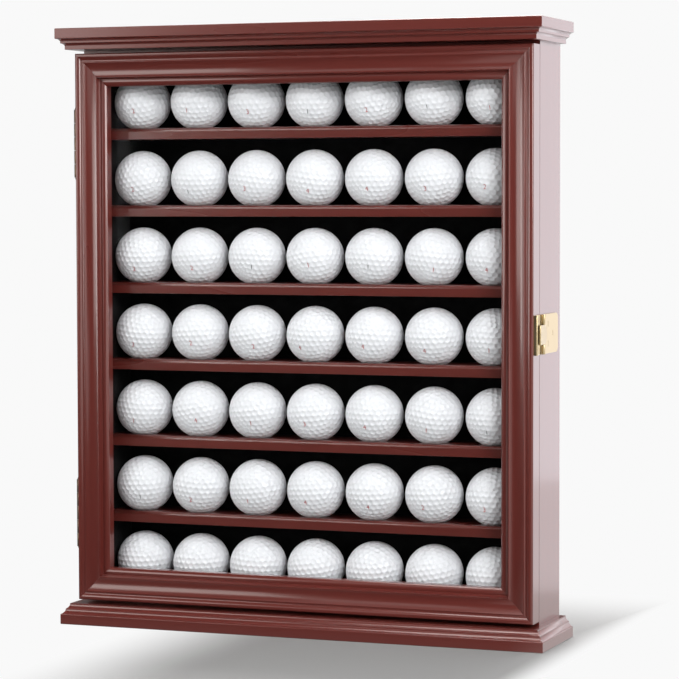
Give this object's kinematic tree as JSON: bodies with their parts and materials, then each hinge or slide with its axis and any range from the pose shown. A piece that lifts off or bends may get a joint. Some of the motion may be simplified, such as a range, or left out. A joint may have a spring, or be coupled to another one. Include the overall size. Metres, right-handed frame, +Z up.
{
  "type": "golf ball display case",
  "caption": "Shallow wall or table display case: shelves of golf balls in round seats behind a framed, side-hinged clear door with a brass latch, between a moulded base and crown.",
  "frame": {"origin": "centre of the overall footprint, on the underside of the base", "axes": "+Z up, +X to the viewer's right, -Y towards the viewer: the door is on the -Y side and the flat back on the +Y side"},
  "size_m": [0.3768, 0.0798, 0.4448],
  "materials": {
    "mahogany_lacquer": "satin to semi-gloss red-brown lacquer over close-grained wood",
    "panel_board": "thin board, stained dark, unpolished",
    "clear_pane": "clear, polished",
    "ball_cover": "glossy white, dimpled",
    "felt": "black felt",
    "polished_brass": "bright brass plate",
    "zinc_steel": "zinc-plated steel"
  },
  "bodies": {
    "case": {"back_panel": "panel_board", "back_panel_screws": "zinc_steel", "ball_row_1": "ball_cover", "ball_row_2": "ball_cover", "ball_row_3": "ball_cover", "ball_row_4": "ball_cover", "ball_row_5": "ball_cover", "ball_row_6": "ball_cover", "ball_row_7": "ball_cover", "base_board": "mahogany_lacquer", "base_screws": "zinc_steel", "case_bottom": "mahogany_lacquer", "case_side_left": "mahogany_lacquer", "case_side_right": "mahogany_lacquer", "case_top": "mahogany_lacquer", "crown_board": "mahogany_lacquer", "crown_screws": "zinc_steel", "felt_back": "felt", "felt_side_left": "felt", "felt_side_right": "felt", "hanger_plate_left": "zinc_steel", "hanger_plate_right": "zinc_steel", "hanger_screws": "zinc_steel", "hinge_case_screws": "polished_brass", "hinge_lower_case_leaf": "polished_brass", "hinge_lower_pin": "polished_brass", "hinge_upper_case_leaf": "polished_brass", "hinge_upper_pin": "polished_brass", "latch_pin": "polished_brass", "latch_plate": "polished_brass", "latch_plate_screws": "polished_brass", "shelf_1": "mahogany_lacquer", "shelf_2": "mahogany_lacquer", "shelf_3": "mahogany_lacquer", "shelf_4": "mahogany_lacquer", "shelf_5": "mahogany_lacquer", "shelf_6": "mahogany_lacquer"},
    "door": {"door_bumpers": "felt", "door_pane": "clear_pane", "door_rail_bottom": "mahogany_lacquer", "door_rail_top": "mahogany_lacquer", "door_stile_left": "mahogany_lacquer", "door_stile_right": "mahogany_lacquer", "hinge_door_screws": "polished_brass", "hinge_lower_door_leaf": "polished_brass", "hinge_upper_door_leaf": "polished_brass", "latch_keeper": "polished_brass", "latch_keeper_screws": "polished_brass", "pane_stop_bottom": "mahogany_lacquer", "pane_stop_left": "mahogany_lacquer", "pane_stop_right": "mahogany_lacquer", "pane_stop_top": "mahogany_lacquer"},
    "latch_lever": {"latch_lever": "polished_brass"}
  },
  "joints": [
    {"name": "door_hinge", "type": "hinge", "parent": "case", "child": "door", "pos_m": [-0.18325, -0.01095, 0.22218], "axis": [0, 0, -1], "range_deg": [0, 180]},
    {"name": "latch_lever_hinge", "type": "hinge", "parent": "case", "child": "latch_lever", "pos_m": [0.17965, -0.00675, 0.22218], "axis": [0, 0, 1], "range_deg": [0, 95]}
  ]
}
